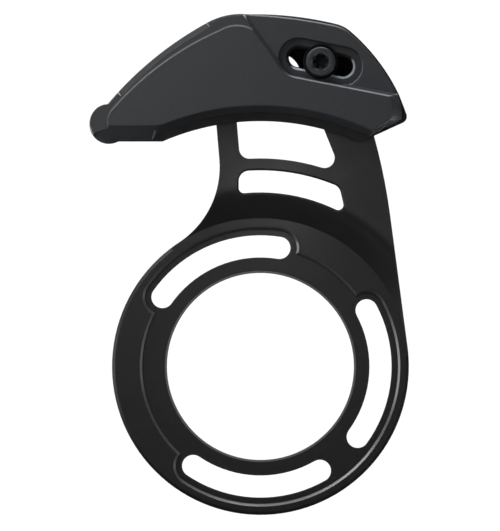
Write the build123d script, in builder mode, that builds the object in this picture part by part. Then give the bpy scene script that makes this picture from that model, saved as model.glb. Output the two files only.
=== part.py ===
from build123d import *
import os
from math import atan2, cos, degrees, radians, sin, sqrt, tan

# Bicycle chain guide for a motor-driven crank: a joggled back plate with a ring that bolts round the
# motor's output shaft, and a two-half moulded guide that one bolt clamps to the plate's head through a slot.
# Millimetres. The origin is on the bore's axis in the ring's rear face, +Z points up the arm, and the
# chain side faces -Y. Depths are measured from the rear face towards -Y.

# Ring of the back plate, from the bore outwards
bore_radius = 26.7
bore_land = 4.45
slot_width = 6.3
rim_land = 4.95
plate_thickness = 4.0
bore_chamfer = 0.5
ring_chamfer = 0.9
ring_chamfer_margin_angle = 3.7

# Arc slots for the mounting bolts, and the pocket that sinks the bolt heads
slot_span_angle = 63.8
top_slot_angle = 112.8
right_slot_angle = -4.0
bottom_slot_angle = -92.2
pocket_width = 7.05
pocket_margin = 1.8
pocket_depth = 1.4
pocket_chamfer = 0.7

# Joggle between ring and arm
joggle_height = 6.0
joggle_run = 6.9
joggle_bend_radius = 7.5

# Arm: left leg, right edge, cross strip and windows
leg_edge_x = -11.65
leg_root_radius = 25.7
leg_lean_angle = 4.9
leg_width = 5.9
edge_lean_angle = 7.6
edge_bend_rise = 1.1
edge_bend_radius = 165.0
edge_bend_angle = 8.0
section_margin = 13.0
window_overlap = 14.0
window_rise = 7.3
lower_window_height = 6.3
strip_width = 3.4
upper_window_bolt_gap = 7.6
upper_window_lean_angle = 22.0
upper_window_top_radius = 6.0
upper_window_radius = 2.9
lower_window_left = -6.2
lower_window_right_x = 22.9
lower_window_lean_angle = 13.0
lower_window_top_radius = 3.0
lower_window_bottom_radius = 1.5

# Edges of the guide that run concentric with the ring, from the lip outwards
lip_radius = 70.0
lip_band = 2.6
face_band = 1.7
roof_rise = 14.0

# Guide bolt and the slot that it clamps, square to the radius through the bolt
bolt_rise = 18.5
bolt_angle = 78.84
bolt_radius = 2.5
thread_clearance = 0.05
bolt_head_radius = 4.25
bolt_head_height = 4.0
bolt_head_chamfer = 0.4
bolt_length = 16.0
socket_radius = 1.6
socket_lobe_radius = 0.42
socket_lobe_circle_radius = 1.8
socket_lobe_count = 6
socket_depth = 2.4
washer_radius = 5.0
washer_bore_radius = 2.65
washer_thickness = 1.0
guide_slot_travel = 12.9
outer_slot_width = 5.9
inner_slot_width = 5.4
slot_edge_chamfer = 0.6
counterbore_width = 10.8

# Head of the plate, measured across the slot from its axis
rail_low = 0.2
rail_top = 5.6
head_left_radius = 9.0
head_right_radius = 6.0
rib_clearance = 0.2
rib_width = 2.0
rib_height = 2.5
rib_start = -24.0
rib_end = 8.0

# Depth layers of the guide
inner_wall = 3.0
channel_width = 8.0
outer_wall = 3.5
plateau_height = 2.5
inner_share = 4.0
counterbore_floor = 0.5

# Outline of the guide seen from the chain side, with heights over the top of the lip's arc
nose_centre = (-43.13, -0.96)
nose_radius = 5.6
nose_bottom_angle = 258.0
nose_corner_angle = 217.0
nose_wall = 0.35
nose_top = (-43.55, 4.7)
left_middle = (-26.8, 20.5)
crown_left = (-14.5, 28.3)
crown = (-9.7, 30.0)
crown_right = (-4.4, 30.4)
top_middle = (9.2, 29.85)
shoulder = (23.8, 27.1)
end_middle = (33.4, 17.4)
end_top = (39.5, 7.5)
end_corner = (42.3, 0.3)
guide_middle = (0.0, 10.0)
lip_right_x = 28.4
shoulder_radius = 10.0
end_corner_radius = 2.0
rim_inset = 0.6
rim_chamfer = 0.4
back_chamfer = 0.5
lead_in = 0.6

# Chain side of the channel's roof
roof_end_x = -30.0
rear_run_rise = 15.5
rim_wall = 2.2
boss_wall = 1.6
left_peg = (-21.0, 20.0)
right_peg = (31.2, 12.2)
peg_radius = 1.4
peg_boss_radius = 3.0
peg_length = 3.0
peg_clearance = 0.1

# Bevelled front of the outer half, with heights over the top of the lip's arc
front_nose_middle = (-45.2, -1.6)
front_nose_corner = (-47.35, -3.4)
front_crown_right = (-5.1, 29.9)
face_bottom_left_x = -42.2

# Raised face, which stands a small step above the strip along the top left edge and above the nose
margin_drop = 0.5
margin_slope_angle = 40.0
face_low = (-42.9, -5.0)
face_nose_low = (-43.45, 0.2)
face_nose = (-43.0, 1.8)
face_nose_top = (-41.6, 3.7)
face_left_middle = (-25.0, 18.2)
face_crown_left = (-11.3, 25.7)
face_crown = (-5.6, 26.9)
face_crown_right = (-2.0, 25.6)
face_end_middle = (37.7, 3.2)
face_end_bottom = (36.4, -0.1)
face_right_x = 31.8
face_left_x = -27.6
face_heel_step = (-2.0, -0.3)
face_edge_radius = 0.4

# Foot of the bevelled sides
foot_end_middle = (40.0, 3.9)
foot_end_bottom = (40.2, 0.5)
foot_right_x = 31.0
foot_left_x = -29.4
foot_heel_step = (-1.6, -2.2)
foot_bottom_left_x = -40.4

# Step down to the slot's pocket, measured along the slot and below the counterbore
step_margin = 0.45
step_corner_along = -9.1
step_corner_radius = 7.9
step_end_along = 21.0
step_foot_rise = 0.85
step_foot_along = -8.25
step_foot_radius = 7.2
counterbore_chamfer = 0.3
scallop_start = 0.11
scallop_end = 0.985
scallop_end_run = 0.02
scallop_width = 1.7
scallop_depth = 3.0

# Values worked out from the ones above
slot_circle_radius = bore_radius + bore_land + slot_width / 2
ring_radius = slot_circle_radius + slot_width / 2 + rim_land
pocket_radius = bore_radius + pocket_width
pocket_slot_width = slot_width + 2 * pocket_margin
lower_window_radius = ring_radius + window_rise
strip_inner_radius = lower_window_radius + lower_window_height
strip_outer_radius = strip_inner_radius + strip_width
outer_lip_radius = lip_radius + lip_band
face_radius = outer_lip_radius + face_band
roof_radius = lip_radius + roof_rise
rear_run_top = lip_radius + rear_run_rise
bolt_circle_radius = lip_radius + bolt_rise
step_drop = counterbore_width / 2 + step_margin
ring_front = plate_thickness
arm_front = ring_front + joggle_height
arm_back = arm_front - plate_thickness
inner_front = arm_front + inner_wall
parting = inner_front + inner_share
outer_back = inner_front + channel_width
outer_front = outer_back + outer_wall
face_front = outer_front + plateau_height
washer_seat = outer_back + counterbore_floor
bolt_seat = washer_seat + washer_thickness
slot_angle = bolt_angle - 90
section_reach = bolt_circle_radius + section_margin

os.makedirs("parts", exist_ok=True)


def facing(depth):
    """Sketch plane parallel to the ring's rear face, at a depth in front of it."""
    return Plane.XZ.offset(depth)


def polar(radius, angle):
    """Point at a radius and an angle from +X towards +Z."""
    return Vector(radius * cos(radians(angle)), radius * sin(radians(angle)))


def radial_plane(angle):
    """Sketch plane through the bore's axis, with its x axis along a radius."""
    along = polar(1, angle)
    return Plane(origin=(0, 0, 0), x_dir=(along.X, 0, along.Y), z_dir=(-along.Y, 0, along.X))


def at_radius(radius, x):
    """Point of the upper half of a circle about the bore's axis."""
    return Vector(x, sqrt(radius**2 - x**2))


bolt = polar(bolt_circle_radius, bolt_angle)


def on_slot(along, across):
    """Point measured along and across the guide's slot from the bolt's axis."""
    return bolt + polar(along, slot_angle) + polar(across, slot_angle + 90)


def over_lip(point):
    """Point of the guide's outline, given by its height over the top of the lip's arc."""
    return Vector(point[0], lip_radius + point[1])


def arc_over_lip(*points):
    """Arc of the guide's outline through three points that are given over the lip."""
    return ThreePointArc(*[over_lip(point) for point in points])


def meet(first, first_angle, second, second_angle):
    """Crossing point of two lines, each given by a point and a direction."""
    gap = Vector(second) - Vector(first)
    turn = sin(radians(second_angle - first_angle))
    reach = (gap.X * sin(radians(second_angle)) - gap.Y * cos(radians(second_angle))) / turn
    return Vector(first) + polar(reach, first_angle)


def inset(point):
    """Point of the guide's outline moved inwards, where one half stands behind the other."""
    inward = over_lip(guide_middle) - over_lip(point)
    return over_lip(point) + inward.normalized() * rim_inset


def slot_line(start_angle, end_angle):
    """Middle line of an arc slot about the bore's axis."""
    return CenterArc((0, 0), slot_circle_radius, start_angle, end_angle - start_angle, mode=Mode.PRIVATE)


# Arc slots of the ring, and the pocket that sinks the heads of their bolts
half_span = slot_span_angle / 2
with BuildSketch() as bolt_slots:
    for middle in (top_slot_angle, right_slot_angle, bottom_slot_angle):
        SlotArc(slot_line(middle - half_span, middle + half_span), slot_width)

with BuildSketch() as head_pocket:
    Circle(pocket_radius)
    SlotArc(slot_line(top_slot_angle - half_span, top_slot_angle + half_span), pocket_slot_width)
    SlotArc(slot_line(bottom_slot_angle - half_span, right_slot_angle + half_span), pocket_slot_width)

# Back plate: a joggled section turned about the bore, trimmed to the outline of ring and arm
bend_angle = degrees(atan2(joggle_height, joggle_run))
back_shift = plate_thickness * tan(radians(bend_angle / 2))
bend_front = (ring_radius + joggle_run, -arm_front)
bend_back = (ring_radius + joggle_run + back_shift, -arm_back)
leg_root_x = leg_edge_x - leg_root_radius
leg_root = Vector(leg_root_x, sqrt((ring_radius + leg_root_radius) ** 2 - leg_root_x**2))
leg_root_angle = degrees(atan2(-leg_root.Y, -leg_root.X))
leg_foot = leg_root + polar(leg_root_radius, leg_lean_angle)
leg_inside = leg_foot + polar(leg_width, leg_lean_angle)
leg_angle = 90 + leg_lean_angle
edge_angle = 90 + edge_lean_angle
edge_root = polar(ring_radius, edge_lean_angle)
edge_bend = meet(edge_root, edge_angle, (0, ring_radius + edge_bend_rise), 0)
edge_top_angle = edge_angle + edge_bend_angle

with BuildPart() as back_plate:
    with BuildSketch() as section:
        with BuildLine():
            Polyline(
                (bore_radius, 0),
                (ring_radius + back_shift, 0),
                bend_back,
                (section_reach, -arm_back),
                (section_reach, -arm_front),
                bend_front,
                (ring_radius, -ring_front),
                (bore_radius, -ring_front),
                close=True,
            )
        make_face()
        fillet(section.vertices().sort_by_distance(bend_front)[0], joggle_bend_radius)
        fillet(section.vertices().sort_by_distance(bend_back)[0], joggle_bend_radius - plate_thickness)
    revolve(axis=Axis.Y)

    with BuildSketch(facing(0)) as plate_outline:
        Circle(ring_radius)
        with BuildLine():
            edge = Line(edge_root, edge_bend)
            edge_arc = JernArc(edge @ 1, edge % 1, edge_bend_radius, edge_bend_angle)
            head_right = meet(edge_arc @ 1, edge_top_angle, on_slot(0, rail_top), slot_angle)
            head_left = meet(leg_foot, leg_angle, on_slot(0, rail_top), slot_angle)
            Polyline(edge_arc @ 1, head_right, head_left, leg_foot)
            leg_arc = CenterArc(leg_root, leg_root_radius, leg_root_angle, leg_lean_angle - leg_root_angle)
            Polyline(leg_arc @ 0, (0, 0), edge_root)
        make_face()
        fillet(plate_outline.vertices().sort_by_distance(head_left)[0], head_left_radius)
        fillet(plate_outline.vertices().sort_by_distance(head_right)[0], head_right_radius)
    extrude(amount=arm_front, mode=Mode.INTERSECT)

    with BuildSketch(facing(0)) as upper_window:
        left_top = meet(leg_inside, leg_angle, on_slot(0, rail_low), slot_angle)
        right_top = on_slot(-upper_window_bolt_gap, rail_low)
        window_reach = bolt_circle_radius - lower_window_radius
        right_low = right_top - polar(window_reach, 90 + upper_window_lean_angle)
        left_low = left_top - polar(window_reach, leg_angle)
        with BuildLine():
            Polyline(left_top, right_top, right_low, left_low, close=True)
        make_face()
        Circle(strip_outer_radius, mode=Mode.SUBTRACT)
        fillet(upper_window.vertices().sort_by_distance(right_top)[0], upper_window_top_radius)
        fillet(upper_window.vertices().sort_by_distance(left_top)[0], upper_window_radius)
        fillet(upper_window.vertices().group_by(Axis.Y)[0], upper_window_radius)
        fillet(upper_window.vertices().sort_by_distance(left_low)[0], upper_window_radius)
    extrude(amount=arm_front, mode=Mode.SUBTRACT)

    with BuildSketch(facing(0)) as lower_window:
        right_side = Vector(lower_window_right_x, lower_window_radius)
        right_high = right_side + polar(window_overlap, 90 + lower_window_lean_angle)
        right_low = right_side - polar(window_overlap, 90 + lower_window_lean_angle)
        with BuildLine():
            Polyline(
                (lower_window_left, strip_outer_radius),
                (right_high.X, strip_outer_radius),
                right_high,
                right_low,
                (lower_window_left, right_low.Y),
                close=True,
            )
        make_face()
        Circle(strip_inner_radius, mode=Mode.INTERSECT)
        Circle(lower_window_radius, mode=Mode.SUBTRACT)
        fillet(
            lower_window.vertices().sort_by(lambda v: Vector(v).length)[:2], lower_window_bottom_radius
        )
        fillet(lower_window.vertices().sort_by(lambda v: Vector(v).length)[-2:], lower_window_top_radius)
    extrude(amount=arm_front, mode=Mode.SUBTRACT)

    with BuildSketch(facing(ring_front)):
        add(head_pocket.sketch)
    extrude(amount=-pocket_depth, mode=Mode.SUBTRACT)
    with BuildSketch(facing(0)):
        add(bolt_slots.sketch)
    extrude(amount=ring_front, mode=Mode.SUBTRACT)

    front_edges = back_plate.edges().filter_by(GeomType.CIRCLE).filter_by_position(
        Axis.Y, -ring_front, -ring_front
    )
    chamfer(front_edges.filter_by(lambda e: e.radius < ring_radius - pocket_chamfer), pocket_chamfer)
    bore_edges = back_plate.edges().filter_by(GeomType.CIRCLE).sort_by(lambda e: e.radius)
    bore_front = bore_edges.filter_by(lambda e: e.radius < bore_radius + bore_chamfer).sort_by(Axis.Y)[0]
    chamfer(bore_front, bore_chamfer)

    chamfer_start = 180 + leg_root_angle + ring_chamfer_margin_angle
    chamfer_end = 360 + edge_lean_angle - ring_chamfer_margin_angle
    with BuildSketch(radial_plane(chamfer_start)):
        with BuildLine():
            Polyline(
                (ring_radius, -ring_front),
                (ring_radius - ring_chamfer, -ring_front),
                (ring_radius, ring_chamfer - ring_front),
                close=True,
            )
        make_face()
    revolve(axis=-Axis.Y, revolution_arc=chamfer_end - chamfer_start, mode=Mode.SUBTRACT)

    with BuildSketch(facing(0)) as tapped_hole:
        with Locations(bolt):
            Circle(bolt_radius + thread_clearance)
    extrude(amount=arm_front, mode=Mode.SUBTRACT)

back_plate.part.label = "back_plate"
export_step(back_plate.part, "parts/back_plate.step")


# Outlines of the guide, shared by its two halves
foot_right = at_radius(outer_lip_radius, foot_right_x)
foot_left = at_radius(outer_lip_radius, foot_left_x)
foot_heel = foot_left + Vector(foot_heel_step)
foot_bottom_left = Vector(foot_bottom_left_x, foot_heel.Y)
foot_end_top = inset(end_top)
lip_right = at_radius(lip_radius, lip_right_x)
lip_left = Vector(-sqrt(lip_radius**2 - foot_heel.Y**2), foot_heel.Y)
nose = over_lip(nose_centre)
nose_left = nose - Vector(nose_radius, 0)
nose_bottom = nose + polar(nose_radius, nose_bottom_angle)
nose_corner = nose + polar(nose_radius, nose_corner_angle)

with BuildSketch() as inner_outline:
    with BuildLine():
        ThreePointArc(lip_left, (0, lip_radius), lip_right)
        Polyline(lip_right, over_lip(end_corner), over_lip(end_top))
        arc_over_lip(end_top, end_middle, shoulder)
        arc_over_lip(shoulder, top_middle, crown_right)
        ThreePointArc(over_lip(crown_right), inset(crown), inset(crown_left))
        ThreePointArc(inset(crown_left), inset(left_middle), inset(nose_top))
        ThreePointArc(inset(nose_top), nose_left + Vector(rim_inset, 0), foot_bottom_left)
        Line(foot_bottom_left, lip_left)
    make_face()
    fillet(inner_outline.vertices().sort_by_distance(over_lip(shoulder))[0], shoulder_radius)
    fillet(inner_outline.vertices().sort_by_distance(over_lip(end_corner))[0], end_corner_radius)

with BuildSketch() as outer_outline:
    with BuildLine():
        ThreePointArc(foot_right, (0, outer_lip_radius), foot_left)
        Polyline(foot_left, foot_heel, foot_bottom_left)
        ThreePointArc(foot_bottom_left, nose_bottom, nose_corner)
        ThreePointArc(nose_corner, nose_left, over_lip(nose_top))
        arc_over_lip(nose_top, left_middle, crown_left)
        arc_over_lip(crown_left, crown, crown_right)
        ThreePointArc(over_lip(crown_right), inset(top_middle), inset(shoulder))
        ThreePointArc(inset(shoulder), inset(end_middle), foot_end_top)
        ThreePointArc(foot_end_top, over_lip(foot_end_middle), over_lip(foot_end_bottom))
        Line(over_lip(foot_end_bottom), foot_right)
    make_face()
    fillet(outer_outline.vertices().sort_by_distance(inset(shoulder))[0], shoulder_radius)

# Room for the chain: an arc over the chainring, and the straight run towards the rear wheel
with BuildSketch() as channel:
    Circle(roof_radius)
    Rectangle(section_reach, rear_run_top, align=(Align.MAX, Align.MIN))
    with Locations((roof_end_x, 0)):
        Rectangle(section_reach, section_reach, align=(Align.MAX, Align.MIN))

# Hollows moulded into the roof, clear of the slot's boss and of the locating pegs
with BuildSketch() as roof_hollows:
    add(outer_outline.sketch)
    add(channel.sketch, mode=Mode.SUBTRACT)
    offset(amount=-rim_wall, mode=Mode.REPLACE)
    with Locations(bolt):
        boss_width = counterbore_width + 2 * boss_wall
        SlotOverall(guide_slot_travel + boss_width, boss_width, rotation=slot_angle, mode=Mode.SUBTRACT)
    with Locations(over_lip(left_peg), over_lip(right_peg)):
        Circle(peg_boss_radius, mode=Mode.SUBTRACT)


def nearest_edge(edges, point):
    """Edge that passes closest to a point of the guide's outline."""
    return edges.sort_by_distance((point.X, edges[0].center().Y, point.Y))[0]


def beside(edge, place, distance):
    """Point beside an edge of the outline, at a share of its length, inwards by a distance."""
    along = edge % place
    return (edge @ place) + Vector(along.Y, -along.X) * distance


def guide_slot(width):
    """Slot for the guide bolt, tilted square to the radius."""
    return SlotOverall(guide_slot_travel + width, width, rotation=slot_angle)


with BuildPart() as inner_guide:
    with BuildSketch(facing(arm_front)):
        add(inner_outline.sketch)
    extrude(amount=parting - arm_front)
    back_edges = inner_guide.faces().sort_by(Axis.Y)[-1].edges()
    chamfer(back_edges.sort_by(Axis.X)[1:], back_chamfer)
    with BuildSketch(facing(inner_front)):
        add(channel.sketch)
    extrude(amount=inner_share, mode=Mode.SUBTRACT)
    with BuildSketch(facing(inner_front)):
        add(roof_hollows.sketch)
    extrude(amount=inner_share, mode=Mode.SUBTRACT)
    with BuildSketch(facing(arm_front)):
        with Locations(bolt):
            guide_slot(inner_slot_width)
    extrude(amount=inner_wall + inner_share, mode=Mode.SUBTRACT)
    with BuildSketch(facing(parting)):
        with Locations(over_lip(left_peg), over_lip(right_peg)):
            Circle(peg_radius + peg_clearance)
    extrude(amount=-(peg_length + peg_clearance), mode=Mode.SUBTRACT)
    with BuildSketch(facing(arm_front)):
        rib_middle = (rib_start + rib_end) / 2
        with Locations(on_slot(rib_middle, rail_top + rib_clearance + rib_width / 2)):
            Rectangle(rib_end - rib_start, rib_width, rotation=slot_angle)
    extrude(amount=-rib_height)

inner_guide.part.label = "inner_guide"
export_step(inner_guide.part, "parts/inner_guide.step")


with BuildPart() as outer_guide:
    with BuildSketch(facing(parting)):
        add(outer_outline.sketch)
    extrude(amount=outer_front - parting)

    step_foot = on_slot(step_foot_along, step_foot_rise - step_drop)
    step_corner = on_slot(step_corner_along, -step_drop)
    face_end_top = on_slot(step_end_along, -step_drop)
    with BuildSketch(facing(outer_front)) as plateau_foot:
        with BuildLine():
            ThreePointArc(foot_right, (0, outer_lip_radius), foot_left)
            Polyline(foot_left, foot_heel, foot_bottom_left)
            ThreePointArc(foot_bottom_left, nose_bottom, nose_corner)
            ThreePointArc(nose_corner, nose_left, over_lip(nose_top))
            arc_over_lip(nose_top, left_middle, crown_left)
            arc_over_lip(crown_left, crown, crown_right)
            Polyline(over_lip(crown_right), step_foot, foot_end_top)
            ThreePointArc(foot_end_top, over_lip(foot_end_middle), over_lip(foot_end_bottom))
            Line(over_lip(foot_end_bottom), foot_right)
        make_face()
        fillet(plateau_foot.vertices().sort_by_distance(step_foot)[0], step_foot_radius)
    face_right = at_radius(face_radius, face_right_x)
    face_left = at_radius(face_radius, face_left_x)
    face_heel = face_left + Vector(face_heel_step)
    face_bottom_left = Vector(face_bottom_left_x, face_heel.Y)
    with BuildSketch(facing(face_front)) as plateau_face:
        with BuildLine():
            ThreePointArc(face_right, (0, face_radius), face_left)
            Polyline(face_left, face_heel, face_bottom_left)
            ThreePointArc(face_bottom_left, over_lip(front_nose_middle), over_lip(front_nose_corner))
            front_nose_left = nose_left + Vector(nose_wall, 0)
            ThreePointArc(over_lip(front_nose_corner), front_nose_left, inset(nose_top))
            ThreePointArc(inset(nose_top), inset(left_middle), inset(crown_left))
            ThreePointArc(inset(crown_left), inset(crown), over_lip(front_crown_right))
            Polyline(over_lip(front_crown_right), step_corner, face_end_top)
            ThreePointArc(face_end_top, over_lip(face_end_middle), over_lip(face_end_bottom))
            Line(over_lip(face_end_bottom), face_right)
        make_face()
        fillet(plateau_face.vertices().sort_by_distance(step_corner)[0], step_corner_radius)
    loft(ruled=True)

    with BuildSketch(facing(parting)):
        add(channel.sketch)
    extrude(amount=outer_back - parting, mode=Mode.SUBTRACT)
    with BuildSketch(facing(parting)):
        add(roof_hollows.sketch)
    extrude(amount=outer_back - parting, mode=Mode.SUBTRACT)

    with BuildSketch(facing(face_front)) as margin:
        with BuildLine():
            Line(over_lip(face_low), over_lip(face_nose_low))
            arc_over_lip(face_nose_low, face_nose, face_nose_top)
            arc_over_lip(face_nose_top, face_left_middle, face_crown_left)
            arc_over_lip(face_crown_left, face_crown, face_crown_right)
            Polyline(
                over_lip(face_crown_right),
                (section_reach, over_lip(face_crown_right).Y),
                (section_reach, section_reach),
                (-section_reach, section_reach),
                (-section_reach, over_lip(face_low).Y),
                over_lip(face_low),
            )
        make_face()
    extrude(amount=-margin_drop, taper=margin_slope_angle, mode=Mode.SUBTRACT)

    face_edges = outer_guide.faces().sort_by(Axis.Y)[0].edges()
    margin_points = [over_lip(point) for point in (face_nose_low, face_nose, face_left_middle, face_crown)]
    margin_edges = [nearest_edge(face_edges, point) for point in margin_points]
    fillet([edge for edge in face_edges if edge not in margin_edges], face_edge_radius)

    entry_edges = outer_guide.edges().filter_by_position(Axis.Y, -outer_back, -outer_back)
    chamfer([nearest_edge(entry_edges, point) for point in (nose_bottom, nose_left)], lead_in)

    with BuildSketch(facing(washer_seat)):
        with Locations(bolt):
            guide_slot(counterbore_width)
    extrude(amount=face_front - washer_seat, mode=Mode.SUBTRACT)
    with BuildSketch(facing(parting)):
        with Locations(bolt):
            guide_slot(outer_slot_width)
    extrude(amount=face_front - parting, mode=Mode.SUBTRACT)

    slot_edges = outer_guide.edges().filter_by_position(Axis.Y, -washer_seat, -washer_seat)
    slot_side = on_slot(0, outer_slot_width / 2)
    slot_end = on_slot((guide_slot_travel + outer_slot_width) / 2, 0)
    chamfer([nearest_edge(slot_edges, point) for point in (slot_side, slot_end)], slot_edge_chamfer)
    pocket_rim = outer_guide.edges().filter_by_position(Axis.Y, -outer_front, -outer_front)
    rim_points = (inset(end_middle), inset(shoulder), inset(top_middle))
    chamfer([nearest_edge(pocket_rim, point) for point in rim_points], rim_chamfer)
    pocket_rim = outer_guide.edges().filter_by_position(Axis.Y, -outer_front, -outer_front)
    bore_side = counterbore_width / 2
    bore_end = guide_slot_travel / 2 + bore_side
    bore_points = (on_slot(-bore_end, 0), on_slot(0, bore_side), on_slot(bore_end, 0))
    chamfer([nearest_edge(pocket_rim, point) for point in bore_points], counterbore_chamfer)

    with BuildLine(mode=Mode.PRIVATE):
        top_edge = arc_over_lip(nose_top, left_middle, crown_left)
    scallop_layers = ((face_front - scallop_depth, 0, scallop_end_run), (face_front, scallop_width, 0))
    for depth, width, run in scallop_layers:
        places = (scallop_start + run, (scallop_start + scallop_end) / 2, scallop_end - run)
        with BuildSketch(facing(depth)):
            with BuildLine():
                inner = [beside(top_edge, place, width) for place in places]
                outer = [beside(top_edge, place, -scallop_width) for place in places]
                ThreePointArc(*inner)
                Line(inner[-1], outer[-1])
                ThreePointArc(*outer)
                Line(outer[0], inner[0])
            make_face()
    loft(ruled=True, mode=Mode.SUBTRACT)

    with BuildSketch(facing(parting)):
        with Locations(over_lip(left_peg), over_lip(right_peg)):
            Circle(peg_radius)
    extrude(amount=-peg_length)

outer_guide.part.label = "outer_guide"
export_step(outer_guide.part, "parts/outer_guide.step")


with BuildPart() as bolt_washer:
    with BuildSketch(facing(washer_seat)):
        with Locations(bolt):
            Circle(washer_radius)
            Circle(washer_bore_radius, mode=Mode.SUBTRACT)
    extrude(amount=washer_thickness)

bolt_washer.part.label = "bolt_washer"
export_step(bolt_washer.part, "parts/bolt_washer.step")


with BuildPart() as guide_bolt:
    with BuildSketch(facing(bolt_seat)):
        with Locations(bolt):
            Circle(bolt_head_radius)
    extrude(amount=bolt_head_height)
    chamfer(guide_bolt.edges().group_by(Axis.Y)[0], bolt_head_chamfer)
    with BuildSketch(facing(bolt_seat)):
        with Locations(bolt):
            Circle(bolt_radius)
    extrude(amount=-bolt_length)
    with BuildSketch(facing(bolt_seat + bolt_head_height)):
        with Locations(bolt):
            Circle(socket_radius)
            with PolarLocations(socket_lobe_circle_radius, socket_lobe_count):
                Circle(socket_lobe_radius)
    extrude(amount=-socket_depth, mode=Mode.SUBTRACT)

guide_bolt.part.label = "guide_bolt"
export_step(guide_bolt.part, "parts/guide_bolt.step")
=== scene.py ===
# %% [markdown]
# A bicycle chain guide in a white studio
#
# The guide is a black anodised plate that bolts round a motor's output shaft, and a moulded two-half
# channel that keeps the chain on the chainring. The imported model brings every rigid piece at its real
# size, in metres, so this lesson is about finish: anodised metal, moulded nylon, blackened steel, a real
# screw thread, and the light that makes black parts readable. Nothing that came with the model is moved.

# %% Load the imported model
from math import cos, pi, radians, sin

import bmesh
import bpy
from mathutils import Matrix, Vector


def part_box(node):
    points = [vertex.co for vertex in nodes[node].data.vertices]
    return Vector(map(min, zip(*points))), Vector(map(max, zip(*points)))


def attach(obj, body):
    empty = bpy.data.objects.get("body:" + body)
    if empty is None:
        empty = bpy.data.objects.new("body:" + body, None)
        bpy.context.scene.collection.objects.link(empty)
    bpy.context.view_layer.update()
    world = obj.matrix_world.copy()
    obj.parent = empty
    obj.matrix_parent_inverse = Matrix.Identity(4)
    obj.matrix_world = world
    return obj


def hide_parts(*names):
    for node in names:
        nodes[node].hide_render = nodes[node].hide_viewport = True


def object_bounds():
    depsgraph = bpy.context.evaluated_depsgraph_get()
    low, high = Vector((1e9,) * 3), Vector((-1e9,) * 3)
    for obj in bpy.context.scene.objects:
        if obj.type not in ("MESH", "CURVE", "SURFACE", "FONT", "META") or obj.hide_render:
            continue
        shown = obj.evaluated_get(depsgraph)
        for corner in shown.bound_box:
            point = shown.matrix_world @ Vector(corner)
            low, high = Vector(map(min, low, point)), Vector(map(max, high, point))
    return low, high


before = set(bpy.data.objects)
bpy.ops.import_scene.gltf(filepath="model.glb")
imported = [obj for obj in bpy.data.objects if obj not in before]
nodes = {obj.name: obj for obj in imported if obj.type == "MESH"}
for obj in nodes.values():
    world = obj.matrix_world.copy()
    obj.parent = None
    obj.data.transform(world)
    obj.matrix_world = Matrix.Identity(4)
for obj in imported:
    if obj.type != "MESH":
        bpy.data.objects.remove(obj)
cad_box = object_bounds()
print("pieces:", ", ".join(sorted(nodes)))

# %% [markdown]
# Where things are
#
# The ring's bore is centred on the origin and the chain side faces -Y. The bolt is the one round piece
# that is rebuilt below, so its axis, head and length are read from the model's own box for it. That way
# the bolt still fits when the model is packed again with other sizes.

# %% Measure the model
MILLIMETRE = 0.001

bolt_low, bolt_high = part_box("guide_bolt")
bolt_x = (bolt_low.x + bolt_high.x) / 2
bolt_z = (bolt_low.z + bolt_high.z) / 2
head_radius = (bolt_high.x - bolt_low.x) / 2
bolt_top = bolt_low.y
bolt_tip = bolt_high.y
head_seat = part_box("bolt_washer")[0].y
print("bolt axis at", round(bolt_x / MILLIMETRE, 2), round(bolt_z / MILLIMETRE, 2), "mm")

# %% [markdown]
# Tools for building finishes
#
# Every finish here is a Principled shader with a few texture nodes in front of it. The textures read
# object coordinates, so the grain has a real size and stays on the piece when it moves. A small helper
# adds a node and fills in its sockets, which keeps each finish short enough to read.

# %% Shader helpers
def add_node(tree, kind, inputs=None, **settings):
    """New shader node with its settings, and with values or links in its named inputs."""
    node = tree.nodes.new(kind)
    for name, value in settings.items():
        setattr(node, name, value)
    for name, value in (inputs or {}).items():
        if isinstance(value, bpy.types.NodeSocket):
            tree.links.new(value, node.inputs[name])
        else:
            node.inputs[name].default_value = value
    return node


def grey(level, tint=(1.0, 1.0, 1.0)):
    """Colour of one brightness, neutral or with a slight tint."""
    return (*(level * share for share in tint), 1.0)


def new_finish(name):
    """Empty material with its Principled shader and the coordinates that its textures read."""
    material = bpy.data.materials.new(name)
    material.use_nodes = True
    tree = material.node_tree
    shader = next(node for node in tree.nodes if node.type == "BSDF_PRINCIPLED")
    place = add_node(tree, "ShaderNodeTexCoord").outputs["Object"]
    return material, tree, shader, place


# Most of a noise lies in this range
NOISE_RANGE = (0.3, 0.7)


def grain(tree, place, size, detail=2.0):
    """Noise whose speckles are about one size across, in metres, from 0 to 1."""
    settings = {"Vector": place, "Scale": 1 / size, "Detail": detail}
    return add_node(tree, "ShaderNodeTexNoise", settings).outputs["Fac"]


def spread(tree, value, low, high, dark, bright):
    """A texture's values from low to high, moved to run from dark to bright."""
    settings = {"Value": value, "From Min": low, "From Max": high, "To Min": dark, "To Max": bright}
    return add_node(tree, "ShaderNodeMapRange", settings).outputs["Result"]


def mixed_colour(tree, share, first, second):
    """Colour between two others, each fixed or linked, by a share from 0 to 1."""
    mix = add_node(tree, "ShaderNodeMix", {"Factor": share, "A": first, "B": second}, data_type="RGBA")
    return mix.outputs["Result"]


# %% [markdown]
# Rounded and rubbed edges
#
# No real edge is perfectly sharp, and on black parts the thin light line along each edge is most of what
# the eye sees. The Bevel node rounds the shading over a small radius without touching the mesh. To find the
# outer edges, short rays are sent into the piece: on a flat face they meet nothing, and near an
# outer edge they soon come out again. The same kind of ray sent outwards tells how open a spot is, so that
# deep corners can be painted darker: painted shade.

# %% Edge helpers
EDGE_SAMPLES = 6
RAY_SAMPLES = 12
# Shares of free rays where the edge mask starts and is full
EDGE_RAYS = (0.97, 0.82)
# Shares of free rays in a deep corner and on an open face
OPEN_RAYS = (0.25, 0.6)


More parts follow.
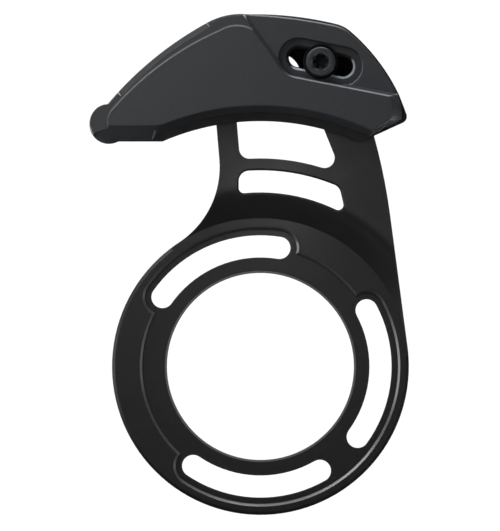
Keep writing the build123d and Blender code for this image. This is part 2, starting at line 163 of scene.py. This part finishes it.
def rounded_normal(tree, radius):
    """Normal that turns smoothly over the edges, as if they were rounded to a radius."""
    return add_node(tree, "ShaderNodeBevel", {"Radius": radius}, samples=EDGE_SAMPLES).outputs["Normal"]


def convex_edge(tree, reach):
    """Value that is 0 on flat faces and rises to 1 along the outer edges, within a reach in metres."""
    rays = add_node(tree, "ShaderNodeAmbientOcclusion", {"Distance": reach}, samples=RAY_SAMPLES)
    rays.inside = True
    rays.only_local = True
    return spread(tree, rays.outputs["AO"], *EDGE_RAYS, 0.0, 1.0)


def openness(tree, reach):
    """1 on open faces, falling to 0 deep in slots and corners that are narrower than a reach."""
    rays = add_node(tree, "ShaderNodeAmbientOcclusion", {"Distance": reach}, samples=RAY_SAMPLES)
    return spread(tree, rays.outputs["AO"], *OPEN_RAYS, 0.0, 1.0)


def textured_normal(tree, height, distance, normal):
    """Normal with a fine relief, a distance high in metres, laid over another normal."""
    relief = add_node(tree, "ShaderNodeBump", {"Height": height, "Distance": distance, "Normal": normal})
    return relief.outputs["Normal"]


# %% [markdown]
# Masks
#
# Some marks belong to one place only, such as the cut edge of a pocket. A painter would mask the rest off
# with tape. Here a mask is a number that is 1 on the place and 0 elsewhere, worked out from where a point
# lies and which way its surface looks. Two masks multiplied give the place that they share.

# %% Mask helpers
UP = (0.0, 0.0, 1.0)
# Limits for the Y part of a chamfer's normal, which looks towards the chain side
CHAMFER_SLOPE = (-0.9, -0.5)


def axes_of(tree, place):
    """The three coordinates of a place, by their letters."""
    return add_node(tree, "ShaderNodeSeparateXYZ", {"Vector": place}).outputs


def measured_along(tree, place, direction):
    """How far a place lies along a direction."""
    ends = {0: place, 1: direction}
    return add_node(tree, "ShaderNodeVectorMath", ends, operation="DOT_PRODUCT").outputs["Value"]


def axis_distance(tree, place, centre_x, centre_z):
    """Distance from a line along Y through a point of the picture plane."""
    flat = add_node(tree, "ShaderNodeMapping", {"Vector": place, "Scale": (1.0, 0.0, 1.0)})
    ends = {0: flat.outputs["Vector"], 1: (centre_x, 0.0, centre_z)}
    return add_node(tree, "ShaderNodeVectorMath", ends, operation="DISTANCE").outputs["Value"]


def between(tree, value, low, high):
    """1 where a value lies between two limits, and 0 elsewhere."""
    limits = {0: value, 1: (low + high) / 2, 2: (high - low) / 2}
    return add_node(tree, "ShaderNodeMath", limits, operation="COMPARE").outputs["Value"]


def shared(tree, first, *others):
    """1 where each of several masks is 1."""
    result = first
    for other in others:
        product = add_node(tree, "ShaderNodeMath", {0: result, 1: other}, operation="MULTIPLY")
        result = product.outputs["Value"]
    return result


def turned_towards(tree, normal, side, low, high):
    """1 on faces that look towards a side, falling to 0 on those that look away from it."""
    return spread(tree, measured_along(tree, normal, side), low, high, 0.0, 1.0)


def face_normal(tree):
    """Normal of the mesh itself, with no rounding or relief."""
    return add_node(tree, "ShaderNodeNewGeometry").outputs["Normal"]


def chamfer_band(tree, place, front, back):
    """1 on faces that slope towards the chain side between two depths, and 0 elsewhere."""
    sloped = between(tree, axes_of(tree, face_normal(tree))["Y"], *CHAMFER_SLOPE)
    return shared(tree, sloped, between(tree, axes_of(tree, place)["Y"], front, back))


# %% [markdown]
# Black anodised aluminium
#
# The plate is cut from sheet, formed, blasted with fine beads and anodised black. The oxide is a clear
# dark skin: it shines weakly, and the blasting spreads that shine. Fine grain in the bump gives the
# blasted tooth, and a slower noise moves the tone and the roughness as handling does. The bore and the
# pocket's edge are cut again afterwards, so metal shows there as thin pale lines. Where the pocket's edge
# looks down the pale metal fades out, so the pale line there is partly painted highlight, bright only where
# the edge looks up or sideways. Deep slots and corners get a nearly black colour: painted shade.

# %% Values of the plate's finish
BLAST_SIZE = 0.22 * MILLIMETRE
BLAST_HEIGHT = 0.012 * MILLIMETRE
CLOUD_SIZE = 9 * MILLIMETRE
PLATE_EDGE = 0.3 * MILLIMETRE
PLATE_RUB = 0.4 * MILLIMETRE
PLATE_TONES = (0.0150, 0.0190)
PLATE_ROUGHNESS = (0.40, 0.48)
PLATE_IOR = 1.5
# Painted shade: deep slots and corners within this reach darken to this tone
SHADE_REACH = 8 * MILLIMETRE
PAINTED_SHADE_TONE = 0.001
RECESS_ROUGHNESS = 0.95
WORN_TONE = 0.04
BORE_EDGE = 27.3 * MILLIMETRE
BORE_TONE = 0.20
POCKET_REACH = 40.8 * MILLIMETRE
POCKET_FRONT = -4.05 * MILLIMETRE
POCKET_BACK = -2.0 * MILLIMETRE
CUT_TONE = 0.30
CUT_METAL = 0.7
CUT_ROUGHNESS = 0.3
# Painted highlight: the pale cut edge fades out where it looks down
CUT_LIT_TURN = (-0.8, -0.1)
print("cut edges from", BORE_EDGE / MILLIMETRE, "to", POCKET_REACH / MILLIMETRE, "mm round the bore")


# %% Finish: anodised plate
def anodised_finish():
    """Satin black oxide on bead-blasted aluminium."""
    material, tree, shader, place = new_finish("black_anodised")
    blast = grain(tree, place, BLAST_SIZE)
    clouds = grain(tree, place, CLOUD_SIZE, detail=3.0)
    edge = rounded_normal(tree, PLATE_EDGE)
    clear = openness(tree, SHADE_REACH)
    radius = axis_distance(tree, place, 0.0, 0.0)
    chamfer = chamfer_band(tree, place, POCKET_FRONT, POCKET_BACK)
    pocket = between(tree, radius, BORE_EDGE, POCKET_REACH)
    # Bare cut metal on the pocket's edge, with a painted highlight: it is kept where the edge looks up or
    # sideways
    cut_and_highlight = shared(tree, chamfer, pocket, turned_towards(tree, edge, UP, *CUT_LIT_TURN))
    cloudy = spread(tree, clouds, *NOISE_RANGE, 0.0, 1.0)
    colour = mixed_colour(tree, cloudy, *map(grey, PLATE_TONES))
    # Painted shade: deep slots and corners get a nearly black colour
    colour = mixed_colour(tree, clear, grey(PAINTED_SHADE_TONE), colour)
    colour = mixed_colour(tree, convex_edge(tree, PLATE_RUB), colour, grey(WORN_TONE))
    colour = mixed_colour(tree, between(tree, radius, 0.0, BORE_EDGE), colour, grey(BORE_TONE))
    colour = mixed_colour(tree, cut_and_highlight, colour, grey(CUT_TONE))
    satin = spread(tree, clouds, *NOISE_RANGE, *PLATE_ROUGHNESS)
    satin = spread(tree, clear, 0.0, 1.0, RECESS_ROUGHNESS, satin)
    tree.links.new(colour, shader.inputs["Base Color"])
    tree.links.new(spread(tree, cut_and_highlight, 0.0, 1.0, 0.0, CUT_METAL), shader.inputs["Metallic"])
    tree.links.new(spread(tree, cut_and_highlight, 0.0, 1.0, satin, CUT_ROUGHNESS), shader.inputs["Roughness"])
    tree.links.new(textured_normal(tree, blast, BLAST_HEIGHT, edge), shader.inputs["Normal"])
    shader.inputs["IOR"].default_value = PLATE_IOR
    return material


nodes["back_plate"].data.materials[0] = anodised_finish()
print("finish of back_plate:", nodes["back_plate"].data.materials[0].name)

# %% [markdown]
# Painted highlights on the nylon
#
# The outer half gets a pale colour where light catches it, as painted highlights: along the edges that
# look up and to the left, on the step below the slot, on the rim of the slot, at both ends of the scallop
# along the top edge, and at the heel, where the lip's bevel starts. Painting these by hand would need an
# unwrapped picture, so each place gets a mask from its measured position. These positions are fixed numbers,
# so they have to be measured again if the shape changes. The scallop itself lies low and stays black.

# %% Masks of the step and the slot's rim
# Painted highlights go on edges that look up and to the left
HIGHLIGHT_SIDE = (-0.7, 0.0, 0.7)
SLOT_LEAN = radians(11.16)
SLOT_RIM_FRONT = -21.6 * MILLIMETRE
SLOT_RIM_BACK = -20.8 * MILLIMETRE
STEP_LOW = -5.95 * MILLIMETRE
STEP_HIGH = -5.55 * MILLIMETRE
STEP_REACH = 12.0 * MILLIMETRE
FACE_FRONT = -27.1 * MILLIMETRE
STEP_BACK = -24.4 * MILLIMETRE
STEP_TURN = (0.3, 0.6)
RIM_TURN = (0.0, 0.3)


def step_mask(tree, place, edge):
    """1 on the upper edge of the step below the slot, and 0 elsewhere."""
    across = (sin(SLOT_LEAN), 0.0, cos(SLOT_LEAN))
    axis_rise = bolt_x * across[0] + bolt_z * across[2]
    rise = measured_along(tree, place, across)
    axes = axes_of(tree, place)
    return shared(tree, between(tree, rise, axis_rise + STEP_LOW, axis_rise + STEP_HIGH),
                  between(tree, axes["Y"], FACE_FRONT, STEP_BACK),
                  between(tree, axes["X"], bolt_x - STEP_REACH, bolt_x + 2 * STEP_REACH),
                  turned_towards(tree, edge, UP, *STEP_TURN))


def slot_rim_mask(tree, place, edge):
    """1 on the broken edge of the slot where it looks up or left, and 0 elsewhere."""
    rim = chamfer_band(tree, place, SLOT_RIM_FRONT, SLOT_RIM_BACK)
    return shared(tree, rim, turned_towards(tree, edge, HIGHLIGHT_SIDE, *RIM_TURN))


# %% Masks of the scallop and the heel
SCALLOP_LEFT = -50.0 * MILLIMETRE
SCALLOP_RIGHT = -3.0 * MILLIMETRE
SCALLOP_FRONT = -26.72 * MILLIMETRE
SCALLOP_BACK = -15.0 * MILLIMETRE
SCALLOP_END_REACH = 3.0 * MILLIMETRE
SCALLOP_END_TURN = (0.3, 0.5)
SCALLOP_ENDS = ((-40.0 * MILLIMETRE, (0.7, 0.0, 0.7)), (-15.1 * MILLIMETRE, (-0.9, 0.0, -0.43)))
HEEL_ACROSS = (0.957, 0.0, -0.29)
HEEL_PLACE = -48.1 * MILLIMETRE
HEEL_HALF_WIDTH = 0.3 * MILLIMETRE
HEEL_LOW = 64.8 * MILLIMETRE
HEEL_HIGH = 67.2 * MILLIMETRE
HEEL_BACK = -22.0 * MILLIMETRE


def scallop_mask(tree, place):
    """1 on the scallop and the margin beside it, which lie lower than the face, and 0 elsewhere."""
    axes = axes_of(tree, place)
    return shared(tree, between(tree, axes["X"], SCALLOP_LEFT, SCALLOP_RIGHT),
                  between(tree, axes["Y"], SCALLOP_FRONT, SCALLOP_BACK))


def scallop_end_mask(tree, place, middle, side):
    """1 on the scallop's end wall that lies near a place along X and looks towards a side."""
    across = axes_of(tree, place)["X"]
    return shared(tree, between(tree, across, middle - SCALLOP_END_REACH, middle + SCALLOP_END_REACH),
                  scallop_mask(tree, place),
                  turned_towards(tree, face_normal(tree), side, *SCALLOP_END_TURN))


def heel_mask(tree, place):
    """1 along the short edge where the lip's bevel starts, and 0 elsewhere."""
    across = measured_along(tree, place, HEEL_ACROSS)
    axes = axes_of(tree, place)
    return shared(tree, between(tree, across, HEEL_PLACE - HEEL_HALF_WIDTH, HEEL_PLACE + HEEL_HALF_WIDTH),
                  between(tree, axes["Z"], HEEL_LOW, HEEL_HIGH),
                  between(tree, axes["Y"], FACE_FRONT, HEEL_BACK))


print("rubbed places: edges, step, slot rim, heel and", len(SCALLOP_ENDS), "scallop ends")

# %% [markdown]
# Moulded nylon
#
# Both halves of the guide are moulded in black nylon filled with short glass fibre. The steel mould has a
# fine spark-eroded texture, which prints as tiny soft pits, and the fibre makes the shine patchy. The outer
# half is the show side, a slightly bluish black, and it carries the painted highlights. The inner half is
# the same stuff with a duller skin, because nothing polishes it, and a colour about half as bright as the
# outer half's: painted shade for the shadow that it lies in under the outer half.

# %% Finish: moulded halves
COOL = (0.925, 1.0, 1.14)
NEUTRAL = (1.0, 1.0, 1.0)
NYLON_IOR = 1.53
PIT_SIZE = 0.28 * MILLIMETRE
PIT_HEIGHT = 0.02 * MILLIMETRE
PIT_RANGE = (0.35, 0.65)
FLOW_SIZE = 6 * MILLIMETRE
NYLON_EDGE = 0.25 * MILLIMETRE
NYLON_EDGE_REACH = 0.6 * MILLIMETRE
HIGHLIGHT_TURN = (0.02, 0.25)
HIGHLIGHT_ROUGHNESS = 0.25
STEP_GAIN = 1.3
SCALLOP_END_GAIN = 0.5


def with_painted_highlights(tree, place, edge, colour, tint, edge_tone, rim_tone):
    """Colour with the outer half's painted highlights laid over it."""
    # Painted highlights on the step, the slot's rim, the heel and both scallop end walls
    colour = mixed_colour(tree, step_mask(tree, place, edge), colour, grey(STEP_GAIN * edge_tone, tint))
    colour = mixed_colour(tree, slot_rim_mask(tree, place, edge), colour, grey(rim_tone, tint))
    colour = mixed_colour(tree, heel_mask(tree, place), colour, grey(edge_tone, tint))
    for middle, side in SCALLOP_ENDS:
        end_wall = scallop_end_mask(tree, place, middle, side)
        colour = mixed_colour(tree, end_wall, colour, grey(SCALLOP_END_GAIN * rim_tone, tint))
    return colour


def nylon_finish(name, tint, tones, edge_tone, roughness, rim_tone=None):
    """Glass-filled nylon from a spark-textured mould, with painted highlights on its edges, and more of them
    if it has a rim tone.
    """
    material, tree, shader, place = new_finish(name)
    pits = grain(tree, place, PIT_SIZE, detail=3.0)
    flow = grain(tree, place, FLOW_SIZE, detail=4.0)
    edge = rounded_normal(tree, NYLON_EDGE)
    # Painted highlight: outer edges that look up and to the left get a paler colour and a smoother skin
    turned = turned_towards(tree, edge, HIGHLIGHT_SIDE, *HIGHLIGHT_TURN)
    highlight_and_wear = shared(tree, convex_edge(tree, NYLON_EDGE_REACH), turned)
    if rim_tone:
        highlight_and_wear = shared(tree, highlight_and_wear, spread(tree, scallop_mask(tree, place), 0.0, 1.0, 1.0, 0.0))
    speckle = spread(tree, pits, *PIT_RANGE, 0.0, 1.0)
    colour = mixed_colour(tree, speckle, *(grey(tone, tint) for tone in tones))
    colour = mixed_colour(tree, highlight_and_wear, colour, grey(edge_tone, tint))
    if rim_tone:
        colour = with_painted_highlights(tree, place, edge, colour, tint, edge_tone, rim_tone)
    matt = spread(tree, flow, *NOISE_RANGE, *roughness)
    tree.links.new(colour, shader.inputs["Base Color"])
    tree.links.new(spread(tree, highlight_and_wear, 0.0, 1.0, matt, HIGHLIGHT_ROUGHNESS), shader.inputs["Roughness"])
    tree.links.new(textured_normal(tree, pits, PIT_HEIGHT, edge), shader.inputs["Normal"])
    shader.inputs["IOR"].default_value = NYLON_IOR
    return material


outer_nylon = nylon_finish("outer_nylon", COOL, (0.0255, 0.0315), 0.165, (0.48, 0.52), rim_tone=0.8)
# Painted shade: the inner half's tones are about half the outer half's
inner_nylon = nylon_finish("inner_nylon", NEUTRAL, (0.012, 0.015), 0.022, (0.55, 0.65))
nodes["outer_guide"].data.materials[0] = outer_nylon
nodes["inner_guide"].data.materials[0] = inner_nylon
print("finish of the halves:", outer_nylon.name, "and", inner_nylon.name)

# %% [markdown]
# Blackened steel
#
# The bolt and its washer are steel with a thin oil-blackened skin. Unlike anodising it lets some metal
# show, so the finish is partly metallic and dark, with paler edges where a tool has touched them. A mask
# makes the bolt's socket darker and duller: painted shade in the deep socket. The washer gets a colour
# ten times darker than the bolt's: painted shade for the shadow under the head.

# %% Finish: bolt and washer
STEEL = (0.95, 1.0, 1.09)
STEEL_METAL = 0.6
STEEL_GRAIN = 0.3 * MILLIMETRE
STEEL_RELIEF = 0.006 * MILLIMETRE
STEEL_EDGE = 0.15 * MILLIMETRE
STEEL_RUB = 0.4 * MILLIMETRE
STEEL_EDGE_GAIN = 3
SOCKET_SHADE_GAIN = 0.2
SOCKET_ROUGHNESS = 0.7
SOCKET_MOUTH = 2.4 * MILLIMETRE
SOCKET_DEPTH = 2.4 * MILLIMETRE
SOCKET_SHARE = 0.98


def socket_mask(tree, place):
    """1 inside the bolt's socket, and 0 elsewhere."""
    radius = axis_distance(tree, place, bolt_x, bolt_z)
    depth = axes_of(tree, place)["Y"]
    return shared(tree, between(tree, radius, 0.0, SOCKET_MOUTH * SOCKET_SHARE),
                  between(tree, depth, bolt_top, bolt_top + 2 * SOCKET_DEPTH))


def blackened_finish(name, tone, roughness, with_socket=False):
    """Oil-blackened steel with a faint grain, and a darker, duller socket as painted shade if it has one."""
    material, tree, shader, place = new_finish(name)
    speckle = grain(tree, place, STEEL_GRAIN, detail=4.0)
    edge = rounded_normal(tree, STEEL_EDGE)
    highlight_and_wear = convex_edge(tree, STEEL_RUB)
    colour = mixed_colour(tree, highlight_and_wear, grey(tone, STEEL), grey(STEEL_EDGE_GAIN * tone, STEEL))
    shine = spread(tree, speckle, *NOISE_RANGE, *roughness)
    if with_socket:
        # Painted shade: the socket gets a fifth of the steel's tone and a duller skin
        sunk = socket_mask(tree, place)
        colour = mixed_colour(tree, sunk, colour, grey(SOCKET_SHADE_GAIN * tone, STEEL))
        shine = spread(tree, sunk, 0.0, 1.0, shine, SOCKET_ROUGHNESS)
    tree.links.new(colour, shader.inputs["Base Color"])
    tree.links.new(shine, shader.inputs["Roughness"])
    tree.links.new(textured_normal(tree, speckle, STEEL_RELIEF, edge), shader.inputs["Normal"])
    shader.inputs["Metallic"].default_value = STEEL_METAL
    return material


bolt_finish = blackened_finish("blackened_bolt", 0.042, (0.34, 0.46), with_socket=True)
# Painted shade: the washer's tone is a tenth of the bolt's, for the shadow under the head
nodes["bolt_washer"].data.materials[0] = blackened_finish("blackened_washer", 0.004, (0.65, 0.75))
print("finish of the washer:", nodes["bolt_washer"].data.materials[0].name)

# %% [markdown]
# The guide bolt
#
# The model carries the bolt as a plain headed pin, because a thread has no use in a collision. Here it is
# rebuilt as a screw: a turned head with a rounded rim, a six-lobe socket with a countersunk mouth, and a
# rolled thread. All of it is one grid of rings round the bolt's axis. Each ring says how far along the axis
# it is and how its radius changes with the angle, so the socket's lobes and the thread's helix are both
# just a radius formula.

# %% Radius formulas
THREAD_PITCH = 0.8 * MILLIMETRE
THREAD_DEPTH = 0.45 * MILLIMETRE
SHANK_RADIUS = 2.48 * MILLIMETRE
FLANK_SLOPE = 1.4
ROOT_FLAT = 0.2
LOBE_COUNT = 6
LOBE_MEAN = 1.80 * MILLIMETRE
LOBE_SWING = 0.3 * MILLIMETRE


def round_ring(radius):
    """The same radius at every angle."""
    return lambda angle: radius


def lobed_ring(shrink):
    """Radius round the six-lobe socket, made smaller by a share."""
    return lambda angle: (LOBE_MEAN + LOBE_SWING * cos(LOBE_COUNT * angle)) * shrink


def thread_ring(along, limit):
    """Radius round the helix at a distance along the shank, never over a limit."""
    def radius(angle):
        phase = (along / THREAD_PITCH - angle / (2 * pi)) % 1.0
        flank = min(1.0, max(0.0, FLANK_SLOPE * abs(2 * phase - 1) - ROOT_FLAT))
        return min(limit, SHANK_RADIUS - THREAD_DEPTH * (1 - flank))
    return radius


# %% Rings of the bolt
TURN_STEPS = 72
RIM_STEPS = 5
RIM_RADIUS = 0.55 * MILLIMETRE
MOUTH_DEPTH = 0.45 * MILLIMETRE
TIP_CHAMFER = 0.6 * MILLIMETRE
RINGS_PER_TURN = 10

rings = [(bolt_top + SOCKET_DEPTH, lobed_ring(0.4)),
         (bolt_top + SOCKET_DEPTH * 0.94, lobed_ring(0.97)),
         (bolt_top + MOUTH_DEPTH, lobed_ring(1.0)),
         (bolt_top, round_ring(SOCKET_MOUTH))]
for step in range(RIM_STEPS + 1):
    swing = radians(90) * step / RIM_STEPS
    rim_radius = head_radius - RIM_RADIUS * (1 - sin(swing))
    rings.append((bolt_top + RIM_RADIUS * (1 - cos(swing)), round_ring(rim_radius)))
rings.append((head_seat - RIM_RADIUS / 2, round_ring(head_radius)))
rings.append((head_seat, round_ring(head_radius - RIM_RADIUS / 2)))
shank_length = bolt_tip - head_seat
ring_count = int(shank_length / THREAD_PITCH * RINGS_PER_TURN)
for step in range(ring_count + 1):
    along = shank_length * step / ring_count
    tip_limit = SHANK_RADIUS - max(0.0, TIP_CHAMFER - (shank_length - along))
    rings.append((head_seat + along, thread_ring(along, tip_limit)))
print("bolt rings:", len(rings), "of", TURN_STEPS, "points")

# %% [markdown]
# Turning rings into a mesh
#
# Neighbouring rings are joined by strips of four-sided faces, and the first and last ring are closed by a
# fan to a point on the axis. The piece takes the place of the plain pin and rides on the plate's body,
# because the bolt stays put while the guide slides under its head.

# %% Mesh from rings
def ring_point(along, radius, angle):
    """Point on the bolt at a distance along its axis, a radius and an angle."""
    return Vector((bolt_x + radius * cos(angle), along, bolt_z + radius * sin(angle)))


def turned_mesh(name, ring_list, steps):
    """Closed mesh from rings that share the bolt's axis."""
    mesh = bmesh.new()
    angles = [2 * pi * step / steps for step in range(steps)]
    loops = []
    for along, radius in ring_list:
        loops.append([mesh.verts.new(ring_point(along, radius(angle), angle)) for angle in angles])
    for first, second in zip(loops, loops[1:]):
        for step in range(steps):
            after = (step + 1) % steps
            mesh.faces.new((first[step], first[after], second[after], second[step]))
    for loop, along in ((loops[0], ring_list[0][0]), (loops[-1], ring_list[-1][0])):
        middle = mesh.verts.new((bolt_x, along, bolt_z))
        for step in range(steps):
            mesh.faces.new((loop[step], loop[(step + 1) % steps], middle))
    bmesh.ops.recalc_face_normals(mesh, faces=mesh.faces)
    data = bpy.data.meshes.new(name)
    mesh.to_mesh(data)
    mesh.free()
    return data


# %% Build the bolt
SMOOTH_UNDER = radians(32)

bolt_mesh = turned_mesh("threaded_bolt", rings, TURN_STEPS)
bolt_mesh.shade_smooth()
bolt_mesh.set_sharp_from_angle(angle=SMOOTH_UNDER)
threaded_bolt = bpy.data.objects.new("threaded_bolt", bolt_mesh)
bpy.context.scene.collection.objects.link(threaded_bolt)
bolt_mesh.materials.append(bolt_finish)
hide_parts("guide_bolt")
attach(threaded_bolt, "mount_plate")
print("bolt faces:", len(bolt_mesh.polygons))

# %% [markdown]
# Floor
#
# The part is shown as in a catalogue: nothing round it but white. A pale floor lies far below it, since the
# part is held by its ring and stands on nothing. A near floor would throw light up under the black parts,
# and they would lose their dark undersides.

# %% Floor
FLOOR_DROP = 1.5
FLOOR_SIZE = 6.0
FLOOR_TONE = 0.8
FLOOR_ROUGHNESS = 0.9

bpy.ops.mesh.primitive_plane_add(size=FLOOR_SIZE, location=(0, 0, cad_box[0].z - FLOOR_DROP))
floor = bpy.context.object
floor.name = "studio_floor"
floor_finish, _, floor_shader, _ = new_finish("pale_floor")
floor_shader.inputs["Base Color"].default_value = grey(FLOOR_TONE)
floor_shader.inputs["Roughness"].default_value = FLOOR_ROUGHNESS
floor.data.materials.append(floor_finish)
print("floor at", round(floor.location.z, 3), "m")

# %% [markdown]
# White sheet
#
# Behind the part hangs a white sheet. A sheet that lit the part as strongly as it looks would grey every
# edge, so the world is white only where the camera looks straight at it. For the part it is nearly dark,
# with a faint glow from behind, as from a sheet that stands well back.

# %% World
SHEET_WHITE = 1.05
SHEET_GLOW = 0.03
GLOW_RANGE = (0.0, 0.4)

world = bpy.data.worlds.new("studio_world")
bpy.context.scene.world = world
world.use_nodes = True
sky = world.node_tree
sky.nodes.clear()
direction = add_node(sky, "ShaderNodeTexCoord").outputs["Generated"]
glow = spread(sky, axes_of(sky, direction)["Y"], *GLOW_RANGE, 0.0, SHEET_GLOW)
sheet = add_node(sky, "ShaderNodeBackground", {"Color": grey(1.0), "Strength": glow})
white = add_node(sky, "ShaderNodeBackground", {"Color": grey(1.0), "Strength": SHEET_WHITE})
seen = add_node(sky, "ShaderNodeLightPath").outputs["Is Camera Ray"]
either = add_node(sky, "ShaderNodeMixShader", {"Fac": seen})
sky.links.new(sheet.outputs["Background"], either.inputs[1])
sky.links.new(white.outputs["Background"], either.inputs[2])
add_node(sky, "ShaderNodeOutputWorld", {"Surface": either.outputs["Shader"]})
bpy.context.scene.view_settings.view_transform = "Standard"
print("sheet white", SHEET_WHITE, "and glow", SHEET_GLOW)

# %% [markdown]
# Light
#
# Black parts are lit by what they mirror. Lamps near the camera's line grey the flat faces. Lamps above and
# to the left skim the part and draw the edges that look that way, and weaker ones on the right and below do
# the same for the rest. All of them are area lamps, so no shadow has a hard edge.

# %% Large lamps
PART_MIDDLE = (0.0, 0.0, 0.03)
WIDE = 180


def soft_lamp(name, place, size, watts, aim=PART_MIDDLE, cone=WIDE):
    """Square area lamp turned towards a point, whose light stays in a cone of some degrees."""
    data = bpy.data.lights.new(name, "AREA")
    data.size = size
    data.energy = watts
    data.spread = radians(cone)
    lamp = bpy.data.objects.new(name, data)
    lamp.location = place
    lamp.rotation_euler = (Vector(aim) - Vector(place)).to_track_quat("-Z", "Y").to_euler()
    bpy.context.scene.collection.objects.link(lamp)
    return lamp


soft_lamp("front_lamp", (0.0, -0.26, 0.05), 0.10, 0.053)
soft_lamp("high_lamp", (-0.05, -0.25, 0.20), 0.15, 0.066)
soft_lamp("near_lamp", (-0.08, -0.12, 0.14), 0.08, 0.055)
soft_lamp("corner_lamp", (-0.12, -0.05, 0.30), 0.15, 0.15)
soft_lamp("key_lamp", (-0.40, -0.08, 0.42), 0.25, 0.55)
soft_lamp("top_lamp", (0.05, -0.10, 0.50), 0.30, 1.40)
soft_lamp("left_lamp", (-0.50, -0.05, 0.0), 0.30, 0.60)
soft_lamp("right_lamp", (0.50, -0.15, -0.05), 0.30, 0.15)
soft_lamp("low_lamp", (-0.30, -0.30, -0.30), 0.30, 0.08)
soft_lamp("low_right_lamp", (0.35, -0.20, -0.30), 0.30, 0.12)

# %% [markdown]
# Small lamps and the back
#
# Three places need a little light of their own: the bevel at the right end, the underside of the nose, and
# the arm, which has a soft shine round its cross strip. A narrow cone keeps each small lamp off the rest of
# the part. Two large lamps behind the part keep its back readable, and they don't reach the front.

# %% Small lamps and lamps behind
NARROW = 40
NARROWEST = 24
END_AIM = (0.042, -0.022, 0.073)
NOSE_AIM = (-0.047, -0.022, 0.066)
ARM_AIM = (0.004, -0.010, 0.048)

soft_lamp("end_lamp", (0.12, -0.03, 0.0), 0.03, 0.0035, aim=END_AIM, cone=NARROW)
soft_lamp("nose_lamp", (-0.09, -0.07, 0.02), 0.02, 0.0003, aim=NOSE_AIM, cone=NARROWEST)
soft_lamp("arm_lamp", (0.004, -0.080, 0.056), 0.02, 0.00027, aim=ARM_AIM, cone=NARROW)
soft_lamp("back_lamp", (0.30, 0.50, 0.40), 0.40, 2.5)
soft_lamp("back_left_lamp", (-0.40, 0.50, 0.05), 0.40, 1.5)

# %% [markdown]
# Camera
#
# The picture is taken square on from the chain side with a very long lens, so there is almost no
# perspective: the ring's bore stays a circle and no inner wall shows. The camera stands far back, and the
# lens is worked out so that the frame's height matches the picture's.

# %% Camera
IMAGE_WIDTH = 500
IMAGE_HEIGHT = 531
PIXELS_PER_MILLIMETRE = 3.5
VIEW_CENTRE = Vector((-2.98, 0.0, 28.84)) * MILLIMETRE
CAMERA_DISTANCE = 6.0
SENSOR = 36.0

frame_height = IMAGE_HEIGHT / PIXELS_PER_MILLIMETRE * MILLIMETRE
camera_data = bpy.data.cameras.new("studio_camera")
camera_data.sensor_width = SENSOR
camera_data.lens = SENSOR * CAMERA_DISTANCE / frame_height
camera_data.clip_end = 3 * CAMERA_DISTANCE
camera = bpy.data.objects.new("studio_camera", camera_data)
camera.location = VIEW_CENTRE - Vector((0, CAMERA_DISTANCE, 0))
camera.rotation_euler = (radians(90), 0, 0)
bpy.context.scene.collection.objects.link(camera)
bpy.context.scene.camera = camera
print("lens", round(camera_data.lens), "mm, frame", IMAGE_WIDTH, "by", IMAGE_HEIGHT)
